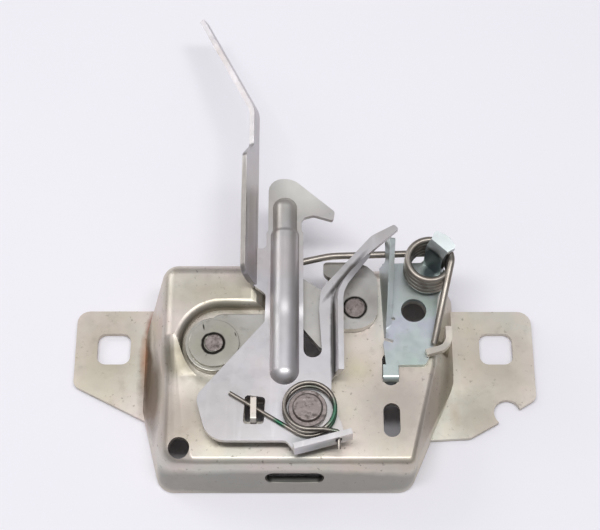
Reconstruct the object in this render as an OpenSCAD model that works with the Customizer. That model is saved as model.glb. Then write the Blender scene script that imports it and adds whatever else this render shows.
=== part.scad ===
// Bonnet latch: drawn pan, claw, pawl, sprung safety hook and ejector spring.
// Lies face up on z = 0 with the origin midway between the two fixing holes.

/* [Mounting] */
// Distance between the two fixing holes
hole_spacing = 140; // [138:0.5:146]
// Side of each rounded square fixing hole
hole_size = 12.2; // [9:0.1:13]
// Corner radius of each fixing hole
hole_corner_r = 3.2; // [2:0.1:4]
// Metal left outside each fixing hole's centre
flange_over = 14; // [12:0.5:18]

/* [Housing] */
// Thickness of the housing sheet
sheet_t = 2; // [1.6:0.1:2.2]
// Height of the face above the mounting plane
pan_depth = 20; // [19:0.5:26]
// Radius rolled on the edges of the face
pan_edge_r = 6; // [5.5:0.1:6.5]
// Height of the raised shoulder above the face
shoulder_h = 4.3; // [3.8:0.1:4.4]
// Radius of the pocket wall round the pawl
pocket_r = 14; // [13.6:0.1:14.6]
// Radius rolled on the top edge of the pocket
pocket_roll_r = 3.2; // [2.8:0.1:3.6]
// Width of the striker slot in the face
striker_w = 11; // [10:0.5:12]
// Radius of the round hole near the lower corner
locator_r = 3.7; // [3:0.1:4.2]
// Width of the two upright slots beside the bracket
side_slot_w = 5.8; // [5.4:0.1:6.6]
// Length of those two slots
side_slot_l = 12.4; // [11:0.2:13]
// Distance between those two slots
side_slot_pitch = 19; // [18:0.5:20]
// Length of the slot in the lower wall
wall_slot_l = 20.5; // [16:0.5:24]
// Height of the slot in the lower wall
wall_slot_h = 6; // [4:0.5:7]

/* [Levers] */
// Thickness of the claw and the pawl
lever_t = 3; // [2.6:0.1:3]
// Radius swept by the tip of the claw
claw_tip_r = 27; // [26.6:0.1:27.1]
// Width of the throat that takes the striker
throat_w = 7; // [6:0.2:7.4]
// Radius of the claw's corner round its pivot
claw_hub_r = 8.3; // [7.8:0.1:8.6]
// Radius of the claw rivet's head
claw_head_r = 3.6; // [3.4:0.1:3.9]
// Radius of the pawl's hub
pawl_hub_r = 10.2; // [9.8:0.1:10.6]
// Radius of the pawl's rivet
pawl_rivet_r = 3.2; // [3:0.1:3.6]
// Radius of the washer that keeps the pawl
washer_r = 8.9; // [8:0.1:9.4]

/* [Safety hook] */
// Thickness of the safety hook sheet
hook_t = 2; // [1.8:0.1:2.1]
// Height of the hook's underside above the face
hook_rise = 4.8; // [4.8:0.1:5.2]
// Width of the hook's stem
stem_w = 13.3; // [12.8:0.1:13.6]
// Step in each side of the stem below the nose
stem_step = 0.6; // [0.3:0.1:0.8]
// Radius of the pressed rib's round back
rib_r = 5.5; // [5.2:0.1:5.7]
// Step in that radius near the nose
rib_step = 0.7; // [0.4:0.1:1]
// Height of the flange turned up along the arm
arm_flange_h = 6.2; // [4:0.2:7]
// Lean of that flange, as a share of its height
arm_flange_lean = 0.38; // [0.2:0.02:0.44]
// Lean of the handle away from square
handle_lean = 25; // [20:1:30]
// Height of the handle's wide part
handle_h = 10; // [9:0.5:12]
// Height of the handle's narrow part
grip_h = 4.5; // [4:0.5:6]
// Length of the handle beyond its bend
grip_l = 50; // [42:1:54]
// Bend of the handle to the side
grip_bend = 26; // [18:1:32]
// Radius of the safety hook's pivot
journal_r = 4.5; // [4.3:0.1:4.8]
// Radius of the pivot's rivet head
head_r = 5.2; // [5:0.1:5.6]
// Radius of the collar inside the small spring
collar_r = 6.6; // [6.2:0.1:6.8]
// Height of that collar
collar_h = 2.9; // [2.6:0.1:3.1]

/* [Springs] */
// Mean radius of the small spring's coil
hook_coil_r = 8.1; // [8:0.05:8.2]
// Wire thickness of the small spring
hook_wire_d = 1.5; // [1.2:0.1:1.5]
// Mean radius of the ejector spring's coil
ejector_coil_r = 7.5; // [7.3:0.1:7.7]
// Wire thickness of the ejector spring
ejector_wire_d = 2; // [1.7:0.1:2]
// Whole turns of the ejector spring
ejector_turns = 5; // [4:1:5]

/* [Bracket] */
// Thickness of the spring bracket
bracket_t = 2; // [1.6:0.1:2.1]
// Height of the high end of the bracket's side strip
strip_h = 11.7; // [11:0.1:12]
// Lean of that strip over the bracket
strip_lean = 20; // [16:1:22]
// Width of the tongue inside the ejector spring
tongue_w = 7.7; // [7:0.1:8]
// Radius of the hole in the bracket
bracket_hole_r = 4.5; // [3.5:0.1:5]

/* [Fits] */
// Gap under each lever
lever_gap = 0.2; // [0.1:0.05:0.25]
// Radial clearance of each pivot
pivot_fit = 0.05; // [0.03:0.01:0.08]
// End clearance along each pivot
end_gap = 0.05; // [0.04:0.01:0.08]
// Gap between the claw's tip and the pawl
tip_gap = 0.35; // [0.3:0.05:0.5]
// Gap between the ejector spring and the bracket
wire_gap = 0.3; // [0.25:0.05:0.35]

/* [Hidden] */
$fn = 64;
slack = 1;
zinc = [0.74, 0.71, 0.64];
steel = [0.62, 0.62, 0.62];
wire = [0.33, 0.31, 0.29];
blue_zinc = [0.6, 0.63, 0.66];
claw_at = [17.7, 7.1];
pawl_at = [-32, -7];
hook_at = [0.8, -33.4];
coil_at = [44, 20.9];
pocket_at = [-29.4, -6.5];
bracket_hole_at = [38.7, 6.5];
side_slot_at = [30, -15.1];
lug_at = [-17.7, -36.3];
striker_at = [3, -8.5];
hole_x = hole_spacing / 2;
lever_z = pan_depth + lever_gap;
lever_top = lever_z + lever_t;
hook_z = pan_depth + hook_rise;
hook_top = hook_z + hook_t;
washer_z = lever_top + end_gap;
washer_t = hook_z - washer_z - 0.4;
bracket_top = pan_depth + bracket_t;
tail_z = pan_depth - sheet_t - end_gap;
tail_r = 5;
tail_h = 1.6;
rim_r = pan_edge_r + 0.5;
side_x = 54.5;
wall_run = 7.5;
back_y = 19.2;
left_x = -45.6;
rim_at = [[-46, -47.5], [32.5, -47.5], [48, -12], [48, back_y - 1], [-46.3, back_y - 1], [-52.4, 1.5],
    [-52.4, -22]];
face_at = [[-44.5, -43.7], [31.8, -43.7], [39.5, -12], [41, back_y], [-44.5, back_y]];
block_at = [[left_x, back_y], [-20, back_y], [left_x, -3], [-20, -3]];
block_foot_at = [[-44.5, -17], [-20, -17]];
stem_mid = -7.25;
ear_x = -17.8;
ear_y = 13.5;
arm_foot = [[10.1, -19.6], [10.1, 8], [10.6, 11], [12.2, 14.6], [15.4, 19], [22.5, 26.8]];
ejector_r = ejector_wire_d / 2;
ejector_z = bracket_top + wire_gap + ejector_r;
ejector_pitch = ejector_wire_d + 0.06;
hook_wire_r = hook_wire_d / 2;
spring_z = hook_top + 0.1 + hook_wire_r;
spring_pitch = hook_wire_d + 0.06;
tab_hole_x = 11.3;

function unit(v) = v / norm(v);
function flat(p) = [p.x, p.y];
function turn(p, r, a) = p + r * [cos(a), sin(a)];
function round_at(p, r, from, sweep, n) = [for (i = [0:n]) turn(p, r, from + sweep * i / n)];
// Points of the arc of radius r that replaces the corner b
function corner(a, b, c, r, n) =
    let (u = unit(a - b), v = unit(c - b), half = acos(u * v) / 2)
    let (p = b + unit(u + v) * r / sin(half))
    let (s = b + u * r / tan(half) - p, e = b + v * r / tan(half) - p)
    let (from = atan2(s.y, s.x), sweep = (atan2(e.y, e.x) - from + 540) % 360 - 180)
    round_at(p, r, from, sweep, n);
// Outline from a list of [x, y, corner radius]
function outline(l, n = 5) =
    let (k = len(l))
    [for (i = [0:k - 1]) each l[i].z == 0 ? [flat(l[i])] :
        corner(flat(l[(i + k - 1) % k]), flat(l[i]), flat(l[(i + 1) % k]), l[i].z, n)];
function side(a, b) = let (d = unit(b - a)) [-d.y, d.x];
function mitre(l, i) =
    let (k = len(l), a = side(l[max(i - 1, 0)], l[max(i, 1)]))
    let (b = side(l[min(i, k - 2)], l[min(i + 1, k - 1)]))
    unit(a + b) / (unit(a + b) * a);
// Strip of width w along a line of points
function strip(l, w) =
    let (k = len(l))
    concat([for (i = [0:k - 1]) l[i] + mitre(l, i) * w / 2],
        [for (i = [k - 1:-1:0]) l[i] - mitre(l, i) * w / 2]);
function lifted(l, z) = [for (p = l) [p.x, p.y, z]];

module plate(l, z, t) {
    translate([0, 0, z])
        linear_extrude(t)
            polygon(outline(l));
}

module disc(p, z, r, h) {
    translate([p.x, p.y, z])
        cylinder(r = r, h = h);
}

module obround(p, z, w, l, h) {
    for (e = [-1, 1])
        disc([p.x, p.y + e * (l - w) / 2], z, w / 2, h);
    translate([p.x - w / 2, p.y - (l - w) / 2, z])
        cube([w, l - w, h]);
}

// Upright sheet across x with its outline in y and z
module upright(l, x, t) {
    translate([x, 0, 0])
        rotate([90, 0, 90])
            linear_extrude(t)
                polygon(outline(l));
}

// Closed skin over k rings of n points
module skin(rings, k, n) {
    sides = [for (i = [0:k - 2]) for (j = [0:n - 1])
        [i * n + j, i * n + (j + 1) % n, (i + 1) * n + (j + 1) % n, (i + 1) * n + j]];
    polyhedron(rings, concat(sides, [[for (j = [n - 1:-1:0]) j], [for (j = [0:n - 1]) (k - 1) * n + j]]));
}

// Round wire along a line of points
module wire_along(path, r, n = 8) {
    k = len(path);
    rings = [for (i = [0:k - 1])
        let (t = unit(path[min(i + 1, k - 1)] - path[max(i - 1, 0)]))
        let (u = unit(cross(t, [0, 0, 1])), v = cross(u, t))
        each [for (q = round_at([0, 0], r, 180 / n, 360 - 360 / n, n - 1)) path[i] + q.x * u + q.y * v]];
    skin(rings, k, n);
}

// Flange of thickness t that leans out from its foot and runs out to nothing
module leaning_flange(foot, z, t, high, lean) {
    k = len(foot);
    rings = [for (i = [0:k - 1])
        let (last = i == k - 1, h = last ? t + 0.2 : high)
        let (half = mitre(foot, i) * (last ? 0.6 * t : t) / 2, top = foot[i] - mitre(foot, i) * lean * h)
        each concat(lifted([foot[i] - half], z), lifted([top - half, top + half], z + h),
            lifted([foot[i] + half], z))];
    skin(rings, k, 4);
}

module ball(p, z, r) {
    translate([p.x, p.y, z])
        sphere(r, $fn = 32);
}

module pan(inset) {
    hull() {
        for (p = face_at)
            ball(p, pan_depth - pan_edge_r, pan_edge_r - inset);
        for (p = rim_at)
            disc(p, -inset, rim_r - inset, slack, $fn = 32);
    }
}

module block(inset) {
    hull() {
        for (p = block_at)
            ball(p, pan_depth + shoulder_h - pan_edge_r, pan_edge_r - inset);
        for (p = block_foot_at)
            ball(p, pan_depth - pan_edge_r, pan_edge_r - inset);
        disc(rim_at[4], -inset, rim_r - inset, slack, $fn = 32);
        disc(rim_at[5], -inset, rim_r - inset, slack, $fn = 32);
        disc([block_at[1].x, rim_at[4].y], -inset, rim_r - inset, slack, $fn = 32);
    }
}

// Room of the pawl pocket: from is the profile's inner end
module pocket_profile(inset, from) {
    roll = pocket_roll_r - inset;
    edge = pocket_r + pocket_roll_r;
    top = pan_depth + shoulder_h - inset;
    bend = round_at([edge, top - roll], roll, 180, -90, 8);
    low = pan_depth - inset - slack;
    polygon(concat([[from, low], [edge - roll, low]], bend, [[edge, top + slack], [from, top + slack]]));
}

module pocket(inset) {
    translate([pocket_at.x, pocket_at.y, 0])
        rotate_extrude()
            pocket_profile(inset, 0);
    translate([pocket_at.x, pocket_at.y, 0])
        rotate([90, 0, 90])
            linear_extrude(60)
                pocket_profile(inset, -50);
}

module flanges() {
    left = -hole_x - flange_over;
    right = hole_x + flange_over - 0.5;
    plate([[-53.3, 15.1, 0], [left, 15.1, 4.5], [left, -14.2, 3], [-57.3, -28, 0], [-57.6, -22, 0],
        [-57.6, 3.5, 0]], 0, sheet_t);
    difference() {
        plate([[53.5, 14.9, 0], [53.5, -12, 0], [53, -14.2, 0], [44, -35.2, 0], [59, -34.4, 4],
            [68.2, -29.2, 1], [78, -22.8, 1], [right, -19.5, 3], [right, 14.9, 5]], 0, sheet_t);
        disc([72.8, -24.8], -slack, 4.9, 9);
    }
}

module fixing_hole(x) {
    a = hole_size / 2;
    plate([[x - a, -a, hole_corner_r], [x + a, -a, hole_corner_r], [x + a, a, hole_corner_r],
        [x - a, a, hole_corner_r]], -slack, 9);
}

// Lanced lug that holds the small spring's fixed leg
module lug() {
    half = 1.5;
    top = spring_z + hook_wire_r + 0.2;
    low = pan_depth - 1;
    hood = 1.6;
    reach = lug_at.y + 7.3;
    upright([[lug_at.y - half, low, 0], [lug_at.y + half, low, 0], [lug_at.y + half, top, 0],
        [reach, top, 0.5], [reach, top + hood, 0.7], [lug_at.y - half, top + hood, 1]],
        lug_at.x - sheet_t / 2, sheet_t);
}

// Lanced hook round the end of the ejector spring
module spring_hook() {
    bottom = bracket_top + wire_gap;
    root_x = 49.5;
    run = 2.2;
    slope = (pan_depth - pan_edge_r) / wall_run;
    foot = (side_x - root_x) * slope - sheet_t;
    rise = 2.6;
    start_y = -0.8;
    translate([0, start_y, 0])
        rotate([90, 0, 0])
            linear_extrude(4.5)
                polygon([[root_x, foot], [root_x + run, foot - run * slope], [root_x + run, bottom + rise],
                    [root_x, bottom + rise]]);
    translate([0, 0, bottom])
        linear_extrude(rise)
            polygon(strip(concat([[root_x + run / 2, start_y - 0.1]], round_at([45.6, -4.6], 5, 0, -72, 6),
                [[42.4, -10.7]]), run));
}

module housing() {
    color(zinc)
        difference() {
            union() {
                difference() {
                    union() {
                        pan(0);
                        difference() {
                            block(0);
                            pocket(0);
                        }
                        flanges();
                    }
                    pan(sheet_t);
                    difference() {
                        block(sheet_t);
                        pocket(sheet_t);
                    }
                }
                lug();
                spring_hook();
            }
            fixing_hole(-hole_x);
            fixing_hole(hole_x);
            disc(striker_at, -slack, striker_w / 2, 60);
            translate([striker_at.x - striker_w / 2, striker_at.y, -slack])
                cube([striker_w, 60, 60]);
            disc([-43.5, -44], -slack, locator_r, 60);
            for (i = [0, 1])
                obround(side_slot_at - [0, i * side_slot_pitch], pan_depth - 5, side_slot_w, side_slot_l, 9);
            translate([-3.7, -40, pan_depth / 2])
                rotate([90, 90, 0])
                    obround([0, 0], 0, wall_slot_h, wall_slot_l, 30);
            disc(bracket_hole_at, pan_depth - 5, bracket_hole_r, 9);
            plate([[-21, -34.7, 0.8], [-14.2, -34.7, 0.8], [-14.2, -27.6, 0.8], [-21, -27.6, 0.8]],
                pan_depth - 3, 5);
            disc(claw_at, pan_depth - 5, claw_head_r - 0.6, 9);
            disc(pawl_at, pan_depth - 5, pawl_rivet_r, 9);
            disc(hook_at, pan_depth - 5, journal_r, 9);
        }
}

module spring_bracket() {
    relief_w = 1.1;
    color(blue_zinc)
        difference() {
            union() {
                plate([[28.4, -14.5, 0.5], [42.4, -14.3, 2], [45.2, -7.5, 4], [47.6, 12, 5], [50.2, 17, 3],
                    [50.4, 22.5, 1], [44.6, 28, 1], [42, 25.4, 1], [27.9, 25, 0.3], [28.9, -3, 0.3],
                    [27.6, -6, 0.5]], pan_depth, bracket_t);
                slot_tab();
                bracket_strip();
                tongue();
            }
            disc(bracket_hole_at, pan_depth - slack, bracket_hole_r, 9);
            disc([31.3, 3.3], pan_depth - slack, 0.7, 9);
            translate([26.6, -4.5, pan_depth - slack])
                rotate(-20)
                    cube([4.6, relief_w, 9]);
        }
}

// Tab folded down into the upper side slot
module slot_tab() {
    gap = 0.2;
    w = side_slot_w - 2 * gap;
    drop = 5;
    translate([side_slot_at.x - w / 2, side_slot_at.y - side_slot_l / 4, pan_depth]) {
        cube([w, 4, bracket_t]);
        rotate([0, 90, 0])
            cylinder(r = bracket_t, h = w);
        translate([0, -bracket_t, -drop])
            cube([w, bracket_t, drop]);
    }
}

// Side strip that leans over the bracket and ends in a free finger
module bracket_strip() {
    foot = [[28, -3.5], [26.9, 24.6]];
    run = foot[1] - foot[0];
    under = bracket_t + ejector_wire_d + wire_gap + 1.5;
    l = norm(run) - 0.6;
    end = l + 7.5;
    difference() {
        translate([foot[0].x, foot[0].y, pan_depth])
            rotate(atan2(run.y, run.x))
                rotate([90 + strip_lean, 0, 0])
                    linear_extrude(bracket_t)
                        polygon(outline([[0, 0, 0], [l, 0, 0], [l, under, 2], [end, under + 0.6, 0.6],
                            [end, strip_h, 0.8], [3, 2.4, 1], [0, 1.2, 0]]));
        translate([0, -30, pan_depth - 9])
            cube([60, 90, 9]);
    }
}

// Tongue that rises through the coil and curls over it
module tongue() {
    top = ejector_z + (ejector_turns + 0.3) * ejector_pitch + ejector_r;
    stand = 3.2;
    line = [[stand, pan_depth - slack], [stand, top - 0.6], [stand + 0.6, top + 0.9], [5.2, top + 1.9],
        [10, top + 2.9]];
    half = tongue_w / 2;
    tip = half + 1.1;
    translate([coil_at.x, coil_at.y, 0])
        rotate(46)
            intersection() {
                translate([0, tongue_w, 0])
                    rotate([90, 0, 0])
                        linear_extrude(2 * tongue_w)
                            polygon(strip(line, bracket_t));
                plate([[1, -half, 0], [4.8, -half, 0], [8.2, -tip, 1], [9.4, 0, 6], [8.2, tip, 1],
                    [4.8, half, 0], [1, half, 0]], pan_depth + bracket_t / 2, 40);
            }
}

module claw() {
    root = [10.6, 14.8];
    along = [-0.798, 0.602];
    half = throat_w / 2;
    across = half * [along.y, -along.x];
    lower_in = root - across - half * along;
    upper_in = root + across - half * along;
    tip = [for (p = round_at(claw_at, claw_tip_r, 169.5, -22, 6)) [p.x, p.y, 0]];
    crease_y = 18.8;
    color(steel)
        difference() {
            plate(concat([[12.5, -1.2, 3], [9, -9.8, 2], [5.2, -8.4, 2], [-1.2, -0.5, 2], [-5.6, 10.4, 1.2]],
                tip, [[lower_in.x, lower_in.y, half], [upper_in.x, upper_in.y, half], [11.1, crease_y, 1],
                [6.6, crease_y, 3.2], [6.6, 25.6, 1.5], [claw_at.x + claw_hub_r, 25.6, 9],
                [claw_at.x + claw_hub_r, claw_at.y - claw_hub_r, claw_hub_r]]), lever_z, lever_t);
            translate([0, crease_y, lever_top])
                rotate([-11, 0, 0])
                    cube([60, 30, 9]);
            disc(claw_at, lever_z - slack, claw_head_r - 0.6 + pivot_fit, 9);
            disc(claw_at, lever_top - 1, claw_head_r + pivot_fit, 9);
        }
}

module claw_rivet() {
    shank = claw_head_r - 0.6;
    color(steel) {
        disc(claw_at, tail_z - tail_h, tail_r, tail_h);
        disc(claw_at, tail_z, shank, lever_top - 1 + end_gap - tail_z);
        disc(claw_at, lever_top - 1 + end_gap, claw_head_r, 1.1);
    }
}

module pawl() {
    tooth_r = claw_tip_r + tip_gap;
    end_r = tooth_r + 1.25;
    end_x = claw_at.x - end_r;
    tooth = [for (p = round_at(claw_at, tooth_r, 170.5, 7.5, 3)) [p.x, p.y, 0]];
    face = [for (p = round_at(claw_at, end_r, 178.5, 16, 3)) [p.x, p.y, 0]];
    color(steel)
        difference() {
            union() {
                disc(pawl_at, lever_z, pawl_hub_r, lever_t);
                plate(concat([[-26, -14.6, 4], [-36, -12, 0], [-36, 0, 0], [-31, 4.6, 5],
                    [end_x - 2.7, 4.6, 1.6], [end_x - 1.7, 11.4, 0.8]], tooth, face,
                    [[end_x - 3.1, -4.4, 2]]), lever_z, lever_t);
            }
            disc(pawl_at, lever_z - slack, pawl_rivet_r + pivot_fit, 9);
        }
}

module pawl_rivet() {
    color(steel) {
        disc(pawl_at, tail_z - tail_h, tail_r, tail_h);
        disc(pawl_at, tail_z, pawl_rivet_r, washer_z + washer_t + 0.1 - tail_z);
    }
}

module pawl_washer() {
    color(steel)
        difference() {
            disc(pawl_at, washer_z, washer_r, washer_t);
            disc(pawl_at, washer_z - slack, pawl_rivet_r, 9);
        }
}

// Pressed rib on the hook's stem, wider below its step
module rib(inset) {
    low = -18.6;
    length = 63.5;
    step = 53.6;
    wide = rib_r - inset;
    narrow = wide - rib_step;
    translate([stem_mid, low, hook_z])
        rotate([-90, 0, 0])
            rotate_extrude()
                intersection() {
                    union() {
                        circle(wide);
                        translate([0, length])
                            circle(narrow);
                        polygon([[0, 0], [wide, 0], [wide, step - 1], [narrow, step + 1], [narrow, length],
                            [0, length]]);
                    }
                    translate([0, -wide])
                        square([wide, length + 2 * wide]);
                }
}

module hook_plate() {
    left = stem_mid - stem_w / 2;
    right = stem_mid + stem_w / 2;
    neck_l = left + stem_step;
    neck_r = right - stem_step;
    plate(concat([[neck_l, 57.2, 5.2], [neck_l, 36, 0.5], [left, 34.8, 0.5], [left, 28.6, 1.5],
        [ear_x, 28.6, 0], [ear_x, ear_y, 0], [left, 10.5, 2], [left - 0.4, 0, 2], [-37.8, -27.9, 5],
        [-33.4, -44, 8], [-6.6, -44, 2], [-3.6, -47.6, 0.6], [13.6, -43, 0.6], [12.4, -37.6, 1.5],
        [8.8, -29.4, 3], [9.2, -21.4, 1.5]], [for (p = arm_foot) [p.x + 0.4, p.y, 0]],
        [[33.9, 36.9, 0.5], [32.4, 38.6, 0.8], [24, 34, 8], [5.6, 12.6, 6], [4.9, 5, 10], [6, -13.5, 3],
        [right, -13.5, 3], [right, 34.8, 0.5], [neck_r, 36, 0.5], [neck_r, 41, 2.4], [3.3, 42.1, 2],
        [10.2, 39.9, 0.9], [10.9, 43.5, 1.5], [-4.4, 57.2, 8]]), hook_z, hook_t);
}

module turned_edges() {
    leaning_flange(arm_foot, hook_z, hook_t, arm_flange_h, arm_flange_lean);
    translate([0, 0, hook_z])
        linear_extrude(spring_z + 2.1 * spring_pitch + hook_wire_r + 0.2 - hook_z)
            polygon(strip([[-4, -47.6], [15.8, -42.2]], hook_t));
}

// Handle folded up from the ear and bent to the side
module handle() {
    lift = hook_z + hook_t / 2;
    bend_r = 10;
    bend = round_at([-bend_r, 83], bend_r, 0, grip_bend, 5);
    end = bend[5] + grip_l * [-sin(grip_bend), cos(grip_bend)];
    end_y = ear_y + 0.7;
    translate([ear_x, 0, lift]) {
        translate([0, ear_y + 0.3, 0])
            rotate([-90, 0, 0])
                cylinder(r = hook_t / 2 - 0.1, h = 14.4);
        rotate([0, -handle_lean, 0]) {
            upright([[end_y, 0, 0], [75, 0, 0], [75, grip_h, 0], [69.7, grip_h, 3], [63.4, handle_h, 3],
                [end_y + 2, handle_h, 4], [end_y, grip_h, 0]], -hook_t / 2, hook_t);
            linear_extrude(grip_h)
                polygon(strip(concat([[0, 70]], bend, [end]), hook_t));
        }
    }
}

module safety_hook() {
    color(steel)
        difference() {
            union() {
                hook_plate();
                turned_edges();
                handle();
                difference() {
                    rib(0);
                    translate([-60, -60, hook_z - 30])
                        cube([120, 140, 30]);
                }
            }
            rib(hook_t);
            plate([[-21.3, -38, 1.2], [-14.2, -38, 1.2], [-13.7, -28.4, 1.2], [-20.7, -27.4, 1.2]],
                hook_z - slack, 9);
            disc(hook_at, hook_z - slack, journal_r + pivot_fit, 9);
            translate([tab_hole_x - 1.1, -50, spring_z - 0.25])
                cube([2.2, 10, 2.7]);
        }
}

module safety_hook_rivet() {
    neck = journal_r - 1;
    head_z = hook_top + 2 * end_gap + collar_h;
    color(steel)
        translate([hook_at.x, hook_at.y, 0])
            rotate_extrude()
                polygon([[0, tail_z - tail_h], [tail_r + 1, tail_z - tail_h], [tail_r + 1, tail_z],
                    [journal_r, tail_z], [journal_r, pan_depth], [journal_r + 2.5, pan_depth],
                    [journal_r + 2.5, hook_z - end_gap], [journal_r, hook_z - end_gap],
                    [journal_r, hook_top + end_gap], [neck, hook_top + end_gap], [neck, head_z],
                    [head_r, head_z], [head_r, head_z + 0.8], [head_r - 0.5, head_z + 1.3],
                    [0, head_z + 1.3]]);
}

module safety_hook_collar() {
    color(steel)
        difference() {
            disc(hook_at, hook_top + end_gap, collar_r, collar_h + end_gap);
            disc(hook_at, hook_top, journal_r - 1, 9);
        }
}

// Fixed leg under the lug, coil, then the leg through the hook's tab
module safety_hook_spring() {
    start = 244;
    sweep = 747;
    steps = 52;
    leg_l = 24;
    bend_r = 1.2;
    coil = [for (i = [0:steps]) let (q = turn(hook_at, hook_coil_r, start + sweep * i / steps))
        [q.x, q.y, spring_z + spring_pitch * sweep * i / steps / 360]];
    top = coil[steps].z;
    fixed = [coil[0].x + leg_l * sin(start), coil[0].y - leg_l * cos(start), spring_z];
    bend = round_at([tab_hole_x - bend_r, coil[steps].y - bend_r], bend_r, 90, -90, 4);
    leg_z = top - 1.2 * spring_pitch;
    color(wire)
        wire_along(concat([fixed], coil, [[hook_at.x + 4.5, coil[steps].y, top]], lifted(bend, leg_z),
            [[tab_hole_x, -47.4, leg_z - 0.9 * spring_pitch]]), hook_wire_r);
}

// Long arm across the slot, coil, then the leg held by the housing
module ejector_spring() {
    start = 91.8;
    leave = -12.8;
    sweep = start - leave + 360 * ejector_turns;
    steps = 24 * ejector_turns + 8;
    coil = [for (i = [0:steps]) let (q = turn(coil_at, ejector_coil_r, start - sweep * i / steps))
        [q.x, q.y, ejector_z + ejector_pitch * sweep * i / steps / 360]];
    arm = [[-7, 23.1], [-1, 24.9], [6, 26.6], [8, 27.05], [10, 27.3], [12, 27.4]];
    end = [45.3, -6.9, ejector_z];
    color(wire)
        wire_along(concat(lifted(arm, ejector_z), coil, [end]), ejector_r);
}

housing();
spring_bracket();
claw();
claw_rivet();
pawl();
pawl_rivet();
pawl_washer();
safety_hook();
safety_hook_rivet();
safety_hook_collar();
safety_hook_spring();
ejector_spring();
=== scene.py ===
import math

import bpy
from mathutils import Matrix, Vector


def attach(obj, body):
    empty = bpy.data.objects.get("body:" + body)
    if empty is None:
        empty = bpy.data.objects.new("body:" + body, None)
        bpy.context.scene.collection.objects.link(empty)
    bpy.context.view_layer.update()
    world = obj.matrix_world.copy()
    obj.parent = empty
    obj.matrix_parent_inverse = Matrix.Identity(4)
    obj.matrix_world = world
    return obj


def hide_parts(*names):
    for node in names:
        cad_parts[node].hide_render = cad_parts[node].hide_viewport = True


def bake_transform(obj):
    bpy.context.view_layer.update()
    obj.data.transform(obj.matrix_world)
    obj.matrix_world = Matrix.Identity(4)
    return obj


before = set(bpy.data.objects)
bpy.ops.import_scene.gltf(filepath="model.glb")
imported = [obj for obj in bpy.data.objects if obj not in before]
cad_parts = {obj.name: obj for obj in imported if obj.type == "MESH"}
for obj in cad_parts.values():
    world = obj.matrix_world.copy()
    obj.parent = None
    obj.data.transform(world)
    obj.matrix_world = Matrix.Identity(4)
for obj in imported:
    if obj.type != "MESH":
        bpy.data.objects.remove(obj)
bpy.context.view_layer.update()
mm = 0.001
allWays = (1, 1, 1)  # a pattern with no direction
mixFrom, mixTo, mixed = 6, 7, 2  # a Mix node's colour sockets
edges = {"merge": 0.002, "flat": 1, "sharp": 40, "smooth": 28, "wireSmooth": 50}  # mm, then degrees
print("frame loaded")


def srgb(code):
    parts = [int(code[i:i + 2], 16) / 255 for i in (1, 3, 5)]
    return tuple(c / 12.92 if c <= 0.04045 else ((c + 0.055) / 1.055) ** 2.4 for c in parts) + (1,)


def addNode(tree, kind, settings=None, links=None):
    node = tree.nodes.new(kind)
    for key, value in (settings or {}).items():
        if isinstance(key, str) and hasattr(node, key):
            setattr(node, key, value)
        else:
            node.inputs[key].default_value = value
    for key, source in (links or {}).items():
        tree.links.new(source, node.inputs[key])
    return node


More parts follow.
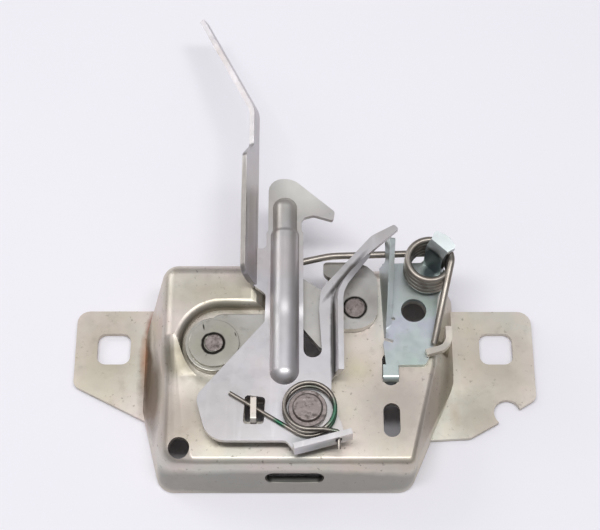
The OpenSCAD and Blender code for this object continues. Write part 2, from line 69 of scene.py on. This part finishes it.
# a metal surface: drifting tints and scratches in layers, stains and painted shade and highlights at places,
# uneven sheet and grit
# a layer holds its size in mm, stretch, the noise where it starts and is full, amount and tint
# stains and painted marks of shade and highlight are each full up to near and gone at far, in mm from their
# place or from a ring round it
def metalFinish(name, look):
    layerShift = (0.31, 0.17, 0.09)  # keeps the layers' patterns apart
    raggedSize = 4  # mm, the unevenness of the edges of stains and painted shade
    material = bpy.data.materials.new(name)
    material.use_nodes = True
    tree = material.node_tree
    shader = tree.nodes["Principled BSDF"]
    place = addNode(tree, "ShaderNodeTexCoord").outputs["Object"]
    ragged = addNode(tree, "ShaderNodeTexNoise", {
        "Scale": 1 / (raggedSize * mm), "Detail": 5, "Roughness": 0.65}, {"Vector": place}).outputs["Fac"]
    colour = None
    for i, (size, stretch, start, full, amount, tint) in enumerate(look["layers"]):
        laid = addNode(tree, "ShaderNodeMapping", {
            "Location": [c * i for c in layerShift], "Scale": stretch}, {"Vector": place}).outputs[0]
        noise = addNode(tree, "ShaderNodeTexNoise", {
            "Scale": 1 / (size * mm), "Detail": 4, "Roughness": 0.6}, {"Vector": laid}).outputs["Fac"]
        share = addNode(tree, "ShaderNodeMapRange", {
            "From Min": start, "From Max": full, "To Max": amount}, {"Value": noise}).outputs[0]
        links = {0: share, mixFrom: colour} if colour else {0: share}
        colour = addNode(tree, "ShaderNodeMix", {
            "data_type": "RGBA", mixFrom: srgb(look["base"]), mixTo: srgb(tint)}, links).outputs[mixed]
    for stainAndShade in look.get("stainsAndShade", []):
        local = addNode(tree, "ShaderNodeMapping", {
            "vector_type": "TEXTURE", "Location": [c * mm for c in stainAndShade["at"]],
            "Rotation": (0, 0, math.radians(stainAndShade.get("turn", 0))),
            "Scale": stainAndShade.get("size", allWays)}, {"Vector": place}).outputs[0]
        reach = addNode(tree, "ShaderNodeVectorMath", {"operation": "LENGTH"}, {0: local}).outputs["Value"]
        uneven = addNode(tree, "ShaderNodeMath", {
            "operation": "MULTIPLY_ADD", 1: stainAndShade.get("ragged", 0) * mm}, {0: ragged, 2: reach}).outputs[0]
        off = addNode(tree, "ShaderNodeMath", {
            "operation": "SUBTRACT", 1: stainAndShade.get("ring", 0) * mm}, {0: uneven}).outputs[0]
        away = addNode(tree, "ShaderNodeMath", {"operation": "ABSOLUTE"}, {0: off}).outputs[0]
        share = addNode(tree, "ShaderNodeMapRange", {
            "From Min": stainAndShade["near"] * mm, "From Max": stainAndShade["far"] * mm,
            "To Min": stainAndShade["amount"], "To Max": 0}, {"Value": away}).outputs[0]
        colour = addNode(tree, "ShaderNodeMix", {
            "data_type": "RGBA", mixTo: srgb(stainAndShade["tint"])}, {0: share, mixFrom: colour}).outputs[mixed]
    tree.links.new(colour, shader.inputs["Base Color"])
    shader.inputs["Metallic"].default_value = look["metal"]
    smoothest, dullest = look["rough"]
    dull = addNode(tree, "ShaderNodeMapRange", {
        "From Min": 0.3, "From Max": 0.7,
        "To Min": smoothest, "To Max": dullest}, {"Value": ragged}).outputs[0]
    tree.links.new(dull, shader.inputs["Roughness"])
    normal = None
    for (size, depth), detail in ((look["swell"], 1), (look["grit"], 3)):  # the sheet's waves, then its grain
        height = addNode(tree, "ShaderNodeTexNoise", {
            "Scale": 1 / (size * mm), "Detail": detail}, {"Vector": place}).outputs["Fac"]
        links = {"Height": height, "Normal": normal} if normal else {"Height": height}
        normal = addNode(tree, "ShaderNodeBump", {"Strength": 1, "Distance": depth * mm}, links).outputs[0]
    tree.links.new(normal, shader.inputs["Normal"])
    return material


def wear(obj, material):
    obj.data.materials.clear()
    obj.data.materials.append(material)


def only(obj):
    bpy.ops.object.select_all(action="DESELECT")
    bpy.context.view_layer.objects.active = obj
    obj.select_set(True)


# new edges where planes cut the active piece, each plane a place in mm and a direction
def cutAcross(planes):
    bpy.ops.object.mode_set(mode="EDIT")
    for place, direction in planes:
        bpy.ops.mesh.select_all(action="SELECT")
        bpy.ops.mesh.bisect(plane_co=[c * mm for c in place], plane_no=direction)
    bpy.ops.object.mode_set(mode="OBJECT")


# a copy of a CAD node with its points merged and its flat faces whole
def copied(node, name):
    piece = bpy.data.objects.new(name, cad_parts[node].data.copy())
    bpy.context.scene.collection.objects.link(piece)
    only(piece)
    bpy.ops.object.mode_set(mode="EDIT")
    bpy.ops.mesh.select_all(action="SELECT")
    bpy.ops.mesh.remove_doubles(threshold=edges["merge"] * mm)
    bpy.ops.mesh.dissolve_limited(angle_limit=math.radians(edges["flat"]))
    bpy.ops.object.mode_set(mode="OBJECT")
    return piece


# sharp edges broken, then the piece takes its node's place
def finish(piece, node, body, edge, material):
    only(piece)
    bevel = piece.modifiers.new("edge", "BEVEL")
    bevel.width = edge * mm
    bevel.segments = 2
    bevel.limit_method = "ANGLE"
    bevel.angle_limit = math.radians(edges["sharp"])
    bpy.ops.object.modifier_apply(modifier="edge")
    bpy.ops.object.shade_smooth_by_angle(angle=math.radians(edges["smooth"]))
    even = piece.modifiers.new("even", "WEIGHTED_NORMAL")  # flat faces stay flat beside the broken edges
    even.weight = 100
    even.keep_sharp = True
    bpy.ops.object.modifier_apply(modifier="even")
    wear(piece, material)
    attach(piece, body)
    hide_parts(node)


# round wire along points in mm
def wireAlong(name, points, radius, material):
    curve = bpy.data.curves.new(name, "CURVE")
    curve.dimensions = "3D"
    curve.bevel_depth = radius * mm
    curve.bevel_resolution = 5
    curve.use_fill_caps = True
    spline = curve.splines.new("POLY")
    spline.points.add(len(points) - 1)
    for spot, (x, y, z) in zip(spline.points, points):
        spot.co = (x * mm, y * mm, z * mm, 1)
    piece = bpy.data.objects.new(name, curve)
    bpy.context.scene.collection.objects.link(piece)
    only(piece)
    bpy.ops.object.convert(target="MESH")
    piece = bpy.context.object
    bpy.ops.object.shade_smooth_by_angle(angle=math.radians(edges["wireSmooth"]))
    wear(piece, material)
    return piece


def arc(x, y, radius, start, sweep, count, low, high):
    turns = [math.radians(start + sweep * i / count) for i in range(count + 1)]
    return [(x + radius * math.cos(a), y + radius * math.sin(a), low + (high - low) * i / count)
            for i, a in enumerate(turns)]


# housing: satin cream zinc, faint yellow, pink and green bloom, rust along both folds, walls darkened by
# painted shade with a brown tint
housing = {
    "edge": 0.35, "face": 20, "sheet": 2, "roll": 6, "tightRoll": 3,
    "rolled": [  # centre of the roll along the lower and right edges: x, y, and how far it moves in x and y
        (-38.5, -43.7, 0, -3.3), (31.8, -43.7, 3.7, -3.3), (39.5, -12, 4.4, -0.6), (39.8, -6, 4.4, -0.2)],
    "rim": 1,  # height of the rim that stays as it is
    "fit": 0.2, "touch": 0.01,  # how near a point lies to count as on the roll, or on the line
    "slot": {"front": -48, "right": 31, "low": 3, "lean": 0.0585},  # the wall's slot follows the steeper wall
    "base": "#d6d0c6",
    "layers": [
        (36, allWays, 0.42, 0.62, 0.55, "#d6ccb4"), (24, allWays, 0.44, 0.62, 0.65, "#d9cac4"),
        (28, allWays, 0.5, 0.66, 0.5, "#c5cbc2"), (4, (1, 0.15, 1), 0.6, 0.75, 0.25, "#ebe9e4"),
        (5, allWays, 0.58, 0.72, 0.3, "#9a9386"), (1.6, allWays, 0.63, 0.7, 0.6, "#6f695c")],
    "stainsAndShade": [
        {"at": (-72, -3, 2), "size": (1, 1.4, 1), "near": 6, "far": 22,  # left flange, dulled
         "ragged": 6, "amount": 0.75, "tint": "#b1a995"},
        {"at": (70, -8, 2), "size": (1, 1.4, 1), "near": 6, "far": 24,  # right flange, dulled
         "ragged": 6, "amount": 0.75, "tint": "#b1a99a"},
        {"at": (-56.8, -10, 5), "size": (1, 5, 1), "near": 3, "far": 6.5,  # foot of the left wall: brown tint and painted shade
         "ragged": 2, "amount": 0.95, "tint": "#624d3c"},
        {"at": (-58.3, -2, 2.5), "size": (1, 6, 1), "near": 0.6, "far": 3.2,  # orange rust on the left fold
         "ragged": 1.5, "amount": 0.7, "tint": "#c08f6e"},
        {"at": (-56.4, 9.5, 2.5), "size": (1, 3, 1), "turn": -12, "near": 1.2, "far": 3,  # red rust above it
         "ragged": 1, "amount": 0.85, "tint": "#8d5347"},
        {"at": (51, -14, 8), "size": (1, 2.9, 1), "near": 1, "far": 9,  # right wall: brown tint and painted shade
         "ragged": 4, "amount": 0.7, "tint": "#85765f"},
        {"at": (54, -26, 2), "size": (1, 2.5, 1), "near": 0.5, "far": 4,  # rust along the right fold
         "ragged": 3, "amount": 0.5, "tint": "#b08b66"},
        {"at": (-8, -53, 7), "size": (8.3, 1, 1), "near": 7, "far": 10,  # grey lower wall
         "ragged": 2, "amount": 0.8, "tint": "#8f8e88"},
        {"at": (-3.7, -51, 7), "size": (12, 1, 1), "near": 1.25, "far": 1.5,  # painted shade at the edge of the wall's slot
         "amount": 0.9, "tint": "#454543"},
        {"at": (-29.4, -6.5, 22), "ring": 15, "near": 0.5, "far": 2.5,  # painted shade round the pawl's pocket
         "ragged": 1, "amount": 0.5, "tint": "#6f6b59"},
        {"at": (-45, -12, 21.5), "size": (1, 1.3, 1), "near": 4, "far": 9,  # shade left of the pocket
         "ragged": 2, "amount": 0.85, "tint": "#847d6d"},
        {"at": (32, -31, 20), "size": (1.3, 1.4, 1), "near": 7, "far": 20,  # face darker at the lower right: painted shade over the soft box's reflection
         "ragged": 5, "amount": 0.8, "tint": "#a39c94"},
        {"at": (18, -15, 20), "near": 2, "far": 11,  # yellow bloom beside the hook
         "ragged": 5, "amount": 0.6, "tint": "#c8be9c"},
        {"at": (-43, -34, 20), "size": (1, 1.5, 1), "near": 5, "far": 14,  # face, pinkish at the lower left
         "ragged": 4, "amount": 0.75, "tint": "#a3978b"},
        {"at": (-53.8, -21, 10), "size": (1, 4, 1.8), "near": 3, "far": 6,  # up the left wall: brown tint and painted shade
         "ragged": 2, "amount": 0.85, "tint": "#77665a"},
        {"at": (47, -10, 24.9), "near": 4, "far": 7,  # lanced spring hook, dulled
         "ragged": 2, "amount": 0.6, "tint": "#9d9891"},
        {"at": (62, -28, 2), "near": 6, "far": 16,  # right flange's lower part
         "ragged": 4, "amount": 0.7, "tint": "#a59d8f"},
        {"at": (-17.3, -31.3, 24), "size": (1, 2.5, 1), "near": 1.4, "far": 2.2,  # lug in the hook's window
         "ragged": 0.5, "amount": 0.6, "tint": "#85837e"},
        {"at": (-29, 12, 24), "size": (3.3, 1, 1), "near": 4, "far": 11,  # shoulder, olive
         "ragged": 3, "amount": 0.6, "tint": "#b3ad97"}],
    "metal": 0.85, "rough": (0.38, 0.46), "swell": (16, 0.12), "grit": (1.2, 0.012)}
housingZinc = metalFinish("creamZincPlate", housing)
housingPiece = copied("housing", "pressedHousing")
# the face reaches nearer its lower and right edges in the photo, so the 6 mm roll there becomes 3 mm
line = [Vector(point) for point in housing["rolled"]]
cutAcross([((line[0].x, 0, 0), (1, 0, 0)), ((0, line[-1].y, 0), (0, 1, 0))])
# radius and level of the sheet's outer and inner side
rolls = [(housing["roll"] - depth, housing["face"] - depth) for depth in (0, housing["sheet"])]
middle = housing["face"] - housing["roll"]
wallTop = middle - housing["fit"] / 2
slot = housing["slot"]
for vert in housingPiece.data.vertices:
    x, y, z = vert.co / mm
    here = Vector((x, y))
    if x < line[0].x - housing["touch"] or y > line[-1].y + housing["touch"] or z < housing["rim"]:
        continue
    spots = []
    for a, b in zip(line, line[1:]):
        run = (b - a).xy
        share = (here - a.xy).dot(run) / run.length_squared
        spots.append(a.lerp(b, min(1, max(0, share))))
    spot = min(spots, key=lambda s: (here - s.xy).length)
    away = here - spot.xy
    shift = spot.zw
    if away.dot(shift) < -housing["touch"]:
        continue
    ring = math.hypot(away.length, z - middle)
    for radius, level in rolls:
        if z > wallTop and abs(ring - radius) < housing["fit"]:
            tighter = (radius - housing["roll"] + housing["tightRoll"]) / radius
            vert.co.xy = (spot.xy + shift + away * tighter) * mm
            vert.co.z = (level - (level - z) * tighter) * mm
    if y < slot["front"] and slot["low"] < z < wallTop and x < slot["right"]:
        vert.co.y -= slot["lean"] * z * mm
finish(housingPiece, "housing", "housing", housing["edge"], housingZinc)
print("housing finished")

# safety hook: smooth silver zinc with a lilac cast, rubbed along the rib; olive painted shade towards the
# nose, a painted highlight on the nose, brown painted shade along the rib, painted lines of light and shade
# on the handle and flange
hook = {
    "edge": 0.4,
    "ramp": {"from": -1, "to": 9, "steps": 10, "rise": 0.5},  # the stem eases up by 0.5 mm between y -1 and 9
    "stemRight": 2.5, "noseRight": 12, "noseFrom": 38,  # what rises: the stem, nose and handle, not the arm
    "base": "#cac7ca",
    "layers": [
        (30, allWays, 0.42, 0.62, 0.6, "#c3c1bd"), (22, allWays, 0.5, 0.66, 0.5, "#cdc3c0"),
        (5, (1, 0.1, 1), 0.58, 0.74, 0.35, "#eeecee"), (6, allWays, 0.6, 0.74, 0.2, "#96928c"),
        (1.6, allWays, 0.7, 0.76, 0.35, "#6d6963")],
    "stainsAndShade": [
        {"at": (-5, 48, 28), "near": 5, "far": 30,  # olive painted shade towards the bent nose
         "ragged": 8, "amount": 0.35, "tint": "#c3bfae"},
        {"at": (1, 56, 28), "near": 9, "far": 17,  # painted highlight on the nose
         "ragged": 4, "amount": 0.75, "tint": "#f3f1ea"},
        {"at": (-28, -32, 26), "near": 7, "far": 22,  # plate's left corner, dulled
         "ragged": 5, "amount": 0.5, "tint": "#a9a6a5"},
        {"at": (5, -44.5, 27), "size": (2.5, 1, 1), "near": 3, "far": 5.5,  # painted shade on the front of the spring tab
         "ragged": 1, "amount": 0.75, "tint": "#8e9293"},
        {"at": (-22, 38, 35.4), "size": (1, 25, 2), "near": 1, "far": 1.5,  # painted shade on the handle's top edge
         "ragged": 0.3, "amount": 0.85, "tint": "#8f8a85"},
        {"at": (-20.6, 38, 33.6), "size": (1, 25, 1), "near": 0.4, "far": 1.1,  # painted highlight as a bright line below it
         "ragged": 0.8, "amount": 0.8, "tint": "#fbfaf8"},
        {"at": (-18, 38, 27), "size": (1, 25, 2), "near": 0.5, "far": 1.3,  # painted shade as a dark line at the handle's foot
         "ragged": 0.5, "amount": 0.85, "tint": "#4b4744"},
        {"at": (-30.1, 105.3, 31.2), "size": (1, 42, 4), "turn": 26.6, "near": 0.2, "far": 0.5,  # painted shade as a dark line along the grip's edge
         "ragged": 0.3, "amount": 0.85, "tint": "#5f5b57"},
        {"at": (-39.3, 125.4, 31.5), "near": 0.6, "far": 1.8,  # dark tip of the grip
         "ragged": 1.5, "amount": 0.8, "tint": "#55514d"},
        {"at": (-11, 38, 30), "size": (1, 3.3, 1), "near": 1, "far": 4,  # brown painted shade beside the rib's upper end
         "ragged": 2, "amount": 0.6, "tint": "#8c7868"},
        {"at": (-12.4, 0, 28.5), "size": (1, 16.7, 1), "near": 0.6, "far": 2.4,  # brown painted shade along the rib's left foot
         "ragged": 1, "amount": 0.6, "tint": "#9b8780"},
        {"at": (-2.2, 0, 28.5), "size": (1, 16.7, 1), "near": 0.6, "far": 2.2,  # painted shade along the rib's right foot
         "ragged": 1, "amount": 0.5, "tint": "#8f8780"},
        {"at": (9.9, -8, 27.4), "size": (1, 17, 2.4), "near": 1.1, "far": 1.7,  # painted shade on the flange's inner side
         "ragged": 0.5, "amount": 0.9, "tint": "#3f3b38"},
        {"at": (14, 17.5, 27.4), "size": (1, 11, 2.4), "turn": -38, "near": 0.9, "far": 1.6,  # painted shade on its bent part
         "ragged": 0.5, "amount": 0.9, "tint": "#3f3b38"},
        {"at": (15.5, 19.5, 29), "size": (2, 2, 1), "near": 1, "far": 5,  # grime on the arm
         "ragged": 2, "amount": 0.45, "tint": "#77726c"},
        {"at": (-22, 18, 30), "size": (1.7, 2, 2), "near": 1, "far": 5,  # grime at the handle's fold
         "ragged": 2, "amount": 0.5, "tint": "#6a655f"}],
    "metal": 0.9, "rough": (0.36, 0.44), "swell": (14, 0.1), "grit": (1, 0.008)}
hookZinc = metalFinish("silverZincPlate", hook)
hookPiece = copied("safety_hook", "stampedHook")
ramp = hook["ramp"]
steps = ramp["steps"]
rows = [ramp["from"] + (ramp["to"] - ramp["from"]) * i / steps for i in range(steps + 1)]
cutAcross([((0, row, 0), (0, 1, 0)) for row in rows])
for i, row in enumerate(rows[1:]):
    bpy.ops.object.mode_set(mode="EDIT")
    bpy.ops.mesh.select_all(action="DESELECT")
    bpy.ops.object.mode_set(mode="OBJECT")
    for vert in hookPiece.data.vertices:
        x, y = vert.co.xy / mm
        inNose = x < hook["noseRight"] and y > hook["noseFrom"]
        vert.select = y > row - edges["merge"] and (x < hook["stemRight"] or inNose)
    bpy.ops.object.mode_set(mode="EDIT")
    lift = ramp["rise"] / steps * (1 - math.cos(2 * math.pi * (i + 0.5) / steps))
    bpy.ops.transform.translate(value=(0, 0, lift * mm))
    bpy.ops.object.mode_set(mode="OBJECT")
finish(hookPiece, "safety_hook", "safety_hook", hook["edge"], hookZinc)
print("safety hook finished")

# spring bracket: clear blue zinc, greenish in places, painted shade and a dark painted reflection in the
# tongue's hollow, painted shade at the fold
bracket = {
    "edge": 0.35,
    "base": "#c6cecd",
    "layers": [
        (22, allWays, 0.42, 0.6, 0.7, "#bccdc4"), (16, allWays, 0.5, 0.66, 0.6, "#c9c8d8"),
        (4, (1, 0.2, 1), 0.6, 0.75, 0.3, "#e2e5e4"), (4, allWays, 0.6, 0.74, 0.3, "#8a8f8b")],
    "stainsAndShade": [
        {"at": (44.8, 21.6, 29), "size": (1, 1, 2), "near": 4.4, "far": 5.4,  # painted shade and dark painted reflection in the tongue's hollow
         "ragged": 1, "amount": 0.9, "tint": "#2f393d"},
        {"at": (48.4, 25.8, 38.8), "near": 4.5, "far": 6,  # tongue's tip, dulled
         "ragged": 1, "amount": 0.5, "tint": "#989b9b"},
        {"at": (27, -3, 22), "near": 1, "far": 4,  # painted shade where the strip is folded up
         "ragged": 2, "amount": 0.5, "tint": "#6d6a5a"}],
    "metal": 0.9, "rough": (0.3, 0.38), "swell": (14, 0.1), "grit": (1, 0.008)}
bracketZinc = metalFinish("blueZincPlate", bracket)
bracketPiece = copied("spring_bracket", "foldedBracket")
finish(bracketPiece, "spring_bracket", "housing", bracket["edge"], bracketZinc)

# levers and washer: rubbed olive-grey zinc, dark rings of painted shade round the rivets
lever = {
    "edge": 0.35, "washerEdge": 0.2,
    "base": "#cbc8c3",
    "layers": [
        (16, allWays, 0.42, 0.6, 0.6, "#b5b2a9"), (9, allWays, 0.5, 0.68, 0.4, "#c9c4b6"),
        (4, (0.4, 0.4, 1), 0.6, 0.75, 0.3, "#d9d8d0"), (3, allWays, 0.6, 0.74, 0.4, "#77736a")],
    "stainsAndShade": [
        {"at": (25, 9, 23), "near": 3, "far": 10,  # claw's right part, dulled
         "ragged": 3, "amount": 0.55, "tint": "#8d8880"},
        {"at": (-32, -7, 23), "near": 8, "far": 17,  # pawl's hub, olive
         "ragged": 3, "amount": 0.5, "tint": "#97937f"},
        {"at": (-32.3, -7.2, 24.4), "ring": 4.2, "near": 0.35, "far": 0.75,  # painted shade as a dark ring in the gap round the pawl's rivet
         "ragged": 0.9, "amount": 1, "tint": "#24211d"},
        {"at": (-36.2, -8, 24.4), "size": (2, 1, 1), "near": 0.2, "far": 0.9,  # painted shade of that gap, spread to its left
         "ragged": 1.2, "amount": 0.9, "tint": "#2b2722"},
        {"at": (-35.8, -0.9, 24.4), "size": (1, 4, 1), "turn": 10, "near": 0.15, "far": 0.4,  # first score
         "amount": 0.95, "tint": "#24211d"},
        {"at": (-34.6, -11.7, 24.4), "size": (1, 3, 1), "turn": -40, "near": 0.1, "far": 0.4,  # second score
         "ragged": 0.4, "amount": 0.9, "tint": "#2b2722"},
        {"at": (-24.5, -3.8, 24.4), "size": (1, 4, 1), "turn": 20, "near": 0.1, "far": 0.3,  # third score
         "amount": 0.9, "tint": "#2b2722"},
        {"at": (17.7, 7.1, 23.2), "ring": 4.4, "near": 0.2, "far": 0.7,  # painted shade as a dark ring in the gap round the claw's rivet
         "ragged": 0.8, "amount": 1, "tint": "#24211d"}],
    "metal": 0.88, "rough": (0.3, 0.38), "swell": (12, 0.06), "grit": (0.9, 0.01)}
leverZinc = metalFinish("rubbedZincPlate", lever)
for node, name in (("claw", "blankedClaw"), ("pawl", "blankedPawl")):
    finish(copied(node, name), node, node, lever["edge"], leverZinc)
washerPiece = copied("pawl_washer", "pressedWasher")
finish(washerPiece, "pawl_washer", "housing", lever["washerEdge"], leverZinc)

# rivets and collar: bare steel, staked rough and pinkish grey, grimy
rivet = {
    "edge": 0.25,
    "base": "#8e8481",
    "layers": [
        (6, allWays, 0.42, 0.6, 0.6, "#877d79"), (3, allWays, 0.5, 0.66, 0.5, "#aea6a2"),
        (1.8, allWays, 0.53, 0.66, 0.75, "#4e4741"), (1.2, allWays, 0.62, 0.72, 0.5, "#d3cfcb")],
    "metal": 0.9, "rough": (0.36, 0.5), "swell": (3, 0.1),
    "grit": (1.1, 0.06)}  # staking marks, drawn coarser to show
rivetSteel = metalFinish("stakedSteel", rivet)
for node, name in (("claw_rivet", "stakedClawPin"), ("pawl_rivet", "stakedPawlPin"),
                   ("safety_hook_rivet", "stakedHookPin"), ("safety_hook_collar", "turnedCollar")):
    finish(copied(node, name), node, "housing", rivet["edge"], rivetSteel)
print("bracket, levers and rivets finished")

# ejector spring: dark oiled wire with a satin shine, 2.5 mm thick and wound 4.3 turns, as in the photo
ejector = {
    "centre": (44, 20.9), "coil": 7.6, "wire": 1.25, "start": 91.8, "sweep": -1544.6, "steps": 300,
    "low": 23.5, "pitch": 2.62,
    "arm": [(-7, 23.1), (-4, 24.02), (-1, 24.9), (2.5, 25.78), (6, 26.58), (8, 27), (10, 27.28), (12, 27.4)],
    "foot": (45.3, -6.9),  # the leg's end in the housing's lanced hook
    "base": "#a49d95",
    "layers": [
        (9, allWays, 0.42, 0.6, 0.6, "#837d75"), (5, allWays, 0.5, 0.66, 0.5, "#9a8e84"),
        (7, allWays, 0.58, 0.74, 0.4, "#4a443e")],
    "metal": 0.95, "rough": (0.34, 0.42), "swell": (20, 0.002), "grit": (6, 0.0005)}
springWire = metalFinish("oiledSpringWire", ejector)
low = ejector["low"]
top = low - ejector["pitch"] * ejector["sweep"] / 360
coil = arc(*ejector["centre"], ejector["coil"], ejector["start"], ejector["sweep"],
           ejector["steps"], low, top)
points = [(x, y, low) for x, y in ejector["arm"]] + coil + [(*ejector["foot"], low)]
ejectorPiece = wireAlong("coiledEjector", points, ejector["wire"], springWire)
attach(ejectorPiece, "housing")
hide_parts("ejector_spring")

# safety hook spring: the same wire, thinner, with green paint daubs and a leaning coil
hookSpring = {
    "centre": (1.5, -34), "lean": 1.4, "coil": 8.7, "wire": 0.75, "start": 238, "sweep": 753, "steps": 150,
    "low": 27.65, "pitch": 1.56,
    "leg": 27,  # length of the straight leg under the window's lug
    "leaves": 6, "tab": 11.3, "turn": 1.2, "turnSteps": 8,  # where the other leg leaves and turns
    "drop": 1.87, "end": -47.4, "endDrop": 1.4,  # its way down through the tab
    "stainsAndShade": [
        {"at": (-9, -38.2, 27.6), "near": 1.6, "far": 3.6,  # daub on the straight leg
         "ragged": 1, "amount": 0.95, "tint": "#2c6b50"},
        {"at": (10, -36, 29), "size": (1, 1.7, 1), "near": 2.5, "far": 5,  # daub on the coil's right side
         "ragged": 1, "amount": 0.85, "tint": "#2f6a52"},
        {"at": (2, -24.5, 28), "size": (2, 1, 1), "near": 1, "far": 3,  # thin paint at its top
         "ragged": 1, "amount": 0.5, "tint": "#3c6a58"}]}
daubedWire = metalFinish("daubedSpringWire", dict(ejector, stainsAndShade=hookSpring["stainsAndShade"]))
low, steps, start = hookSpring["low"], hookSpring["steps"], hookSpring["start"]
top = low + hookSpring["pitch"] * hookSpring["sweep"] / 360
coil = arc(*hookSpring["centre"], hookSpring["coil"], start, hookSpring["sweep"], steps, low, top)
coil = [(x, y + hookSpring["lean"] * i / steps, z) for i, (x, y, z) in enumerate(coil)]
straight = (coil[0][0] + hookSpring["leg"] * math.sin(math.radians(start)),
            coil[0][1] - hookSpring["leg"] * math.cos(math.radians(start)), low)
tab, turn, legY, legZ = hookSpring["tab"], hookSpring["turn"], coil[-1][1], top - hookSpring["drop"]
bend = arc(tab - turn, legY - turn, turn, 90, -90, hookSpring["turnSteps"], legZ, legZ)
end = (tab, hookSpring["end"], legZ - hookSpring["endDrop"])
points = [straight] + coil + [(hookSpring["leaves"], legY, top)] + bend + [end]
hookSpringPiece = wireAlong("coiledHookSpring", points, hookSpring["wire"], daubedWire)
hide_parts("safety_hook_spring")
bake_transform(hookSpringPiece)
print("springs wound")

# table: smooth white paper with a lilac cast and a faint cloudiness
paperLook = {"width": 6, "drop": 0.0003, "cloud": 9, "tints": ("#f6f4fa", "#faf8fd"), "rough": 0.7}  # metres
bpy.ops.mesh.primitive_plane_add(size=paperLook["width"], location=(0, 0, -paperLook["drop"]))
floor = bpy.context.object
floor.name = "table"
paper = bpy.data.materials.new("whitePaper")
paper.use_nodes = True
paperTree = paper.node_tree
paperShader = paperTree.nodes["Principled BSDF"]
paperPlace = addNode(paperTree, "ShaderNodeTexCoord").outputs["Object"]
paperCloud = addNode(paperTree, "ShaderNodeTexNoise", {
    "Scale": paperLook["cloud"], "Detail": 4}, {"Vector": paperPlace})
darker, paler = [srgb(tint) for tint in paperLook["tints"]]
paperTint = addNode(paperTree, "ShaderNodeMix", {
    "data_type": "RGBA", mixFrom: darker, mixTo: paler}, {0: paperCloud.outputs["Fac"]})
paperTree.links.new(paperTint.outputs[mixed], paperShader.inputs["Base Color"])
paperShader.inputs["Roughness"].default_value = paperLook["rough"]
wear(floor, paper)

# soft room: pale ceiling, warm grey walls
room = {"wall": "#8a8580", "ceiling": "#dfe0e6", "from": 0.1, "to": 0.8, "strength": 0.6}
world = bpy.data.worlds.new("studio")
world.use_nodes = True
sky = world.node_tree
skyPlace = addNode(sky, "ShaderNodeTexCoord").outputs["Generated"]
skyUp = addNode(sky, "ShaderNodeSeparateXYZ", None, {0: skyPlace})
skyShare = addNode(sky, "ShaderNodeMapRange", {
    "From Min": room["from"], "From Max": room["to"]}, {"Value": skyUp.outputs["Z"]})
skyTint = addNode(sky, "ShaderNodeMix", {
    "data_type": "RGBA", mixFrom: srgb(room["wall"]), mixTo: srgb(room["ceiling"])}, {0: skyShare.outputs[0]})
sky.links.new(skyTint.outputs[mixed], sky.nodes["Background"].inputs["Color"])
sky.nodes["Background"].inputs["Strength"].default_value = room["strength"]
bpy.context.scene.world = world

# one long soft box overhead and a weak fill from the left, in metres and watts
lamps = {"softBox": {"at": (0, -0.04, 1.5), "size": (1.5, 0.25), "power": 12.5},
         "fill": {"at": (-1.3, 0.9, 0.9), "size": (0.8, 0.8), "power": 5}}
for name, lamp in lamps.items():
    data = bpy.data.lights.new(name, "AREA")
    data.shape = "RECTANGLE"
    data.size, data.size_y = lamp["size"]
    data.energy = lamp["power"]
    light = bpy.data.objects.new(name, data)
    light.location = lamp["at"]
    light.rotation_euler = (-Vector(lamp["at"])).to_track_quat("-Z", "Y").to_euler()
    bpy.context.scene.collection.objects.link(light)

# camera for the 600 by 530 frame, tilted from straight above, in metres and degrees
view = {"lens": 90, "sensor": 36, "at": (-0.0018, -0.2133, 0.5096), "tilt": 26}
lens = bpy.data.cameras.new("camera")
lens.lens = view["lens"]
lens.sensor_width = view["sensor"]
camera = bpy.data.objects.new("camera", lens)
camera.location = view["at"]
camera.rotation_euler = (math.radians(view["tilt"]), 0, 0)
bpy.context.scene.collection.objects.link(camera)
bpy.context.scene.camera = camera
bpy.context.scene.view_settings.view_transform = "Standard"

print("stage set")
